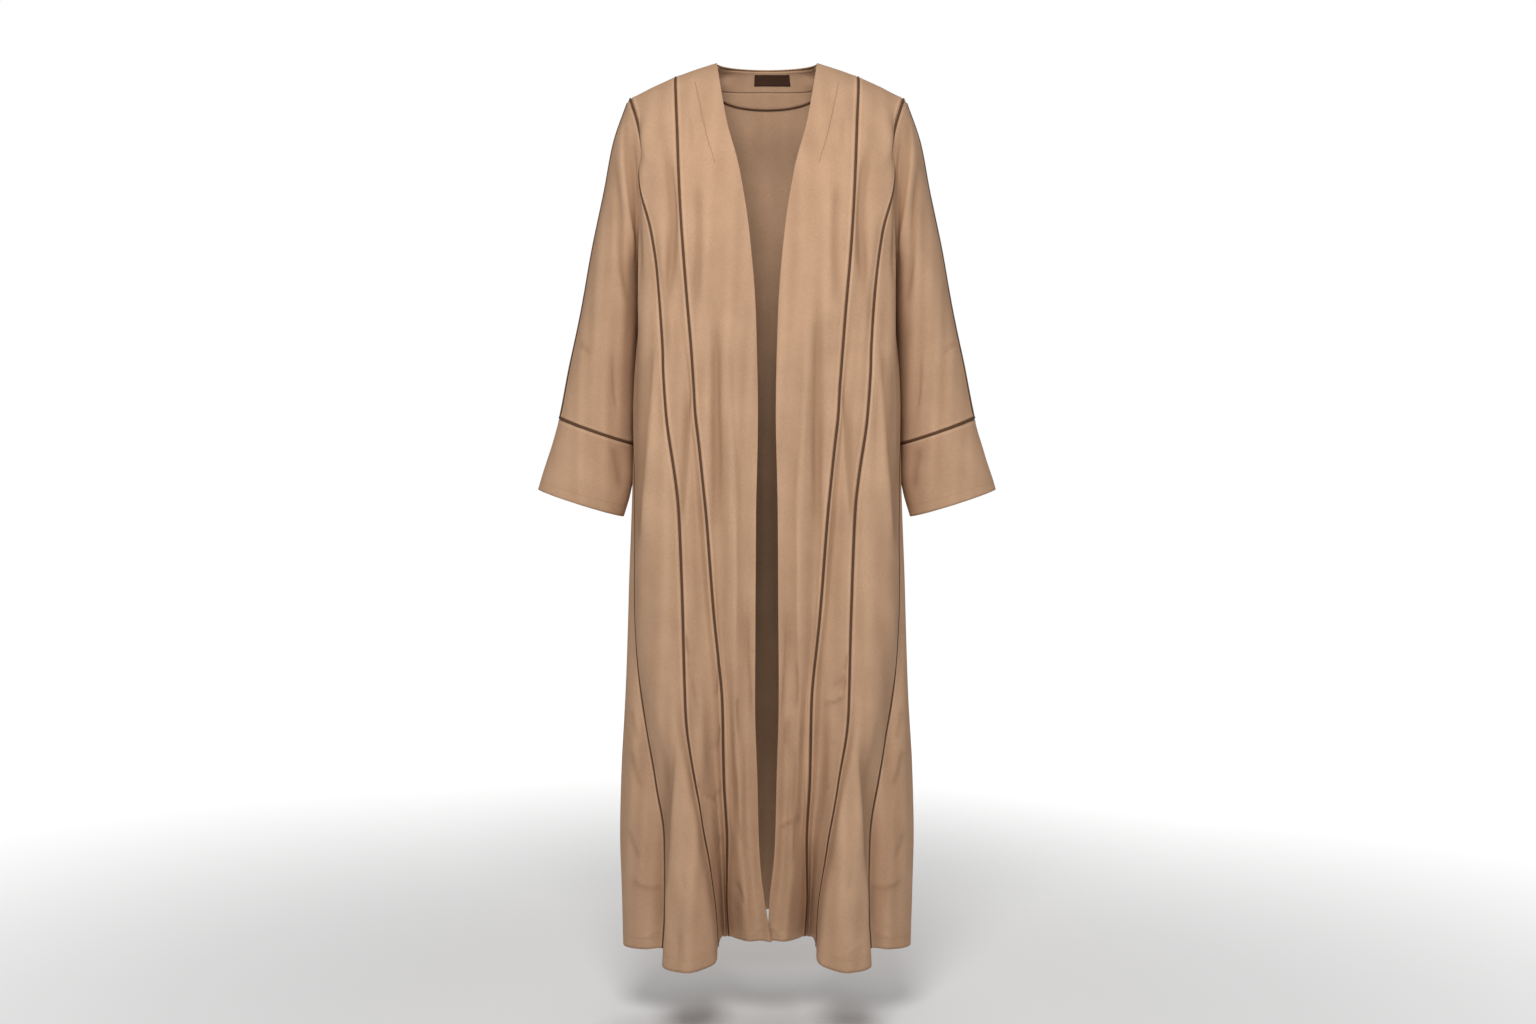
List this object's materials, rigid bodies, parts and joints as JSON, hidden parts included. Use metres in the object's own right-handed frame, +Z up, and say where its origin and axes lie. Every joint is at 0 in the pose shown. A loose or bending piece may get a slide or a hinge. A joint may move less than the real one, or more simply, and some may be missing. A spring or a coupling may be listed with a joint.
{
  "type": "abaya cloak",
  "caption": "Long open-front abaya of tan woven cloth with dark piped seams, straight wide cuffs and a flared hem, held open as worn.",
  "frame": {"origin": "midway between the two neck points, on the shoulder line, where the wearer's shoulders hold it up", "axes": "+Z up towards the neck, along the garment's length; -Y towards the front of the garment; +X towards the wearer's left"},
  "size_m": [0.73, 0.335, 1.4019],
  "materials": {
    "cloth": "matt plain-woven tan cloth",
    "piping": "dark brown satin-woven piping",
    "label": "dark brown woven label, left bare"
  },
  "bodies": {
    "root": {"back": "cloth", "back_facing": "cloth", "back_neck_band": "cloth", "cuff_left": "cloth", "cuff_right": "cloth", "facing_binding": "piping", "front_centre_left": "cloth", "front_centre_right": "cloth", "front_middle_left": "cloth", "front_middle_right": "cloth", "front_side_left": "cloth", "front_side_right": "cloth", "label": "label", "piping_armhole_left": "piping", "piping_armhole_right": "piping", "piping_cuff_left": "piping", "piping_cuff_right": "piping", "piping_overarm_left": "piping", "piping_overarm_right": "piping", "piping_seam_a_left": "piping", "piping_seam_a_right": "piping", "piping_seam_b_left": "piping", "piping_seam_b_right": "piping", "piping_side_seam_left": "piping", "piping_side_seam_right": "piping", "sleeve_back_left": "cloth", "sleeve_back_right": "cloth", "sleeve_front_left": "cloth", "sleeve_front_right": "cloth"}
  },
  "joints": []
}
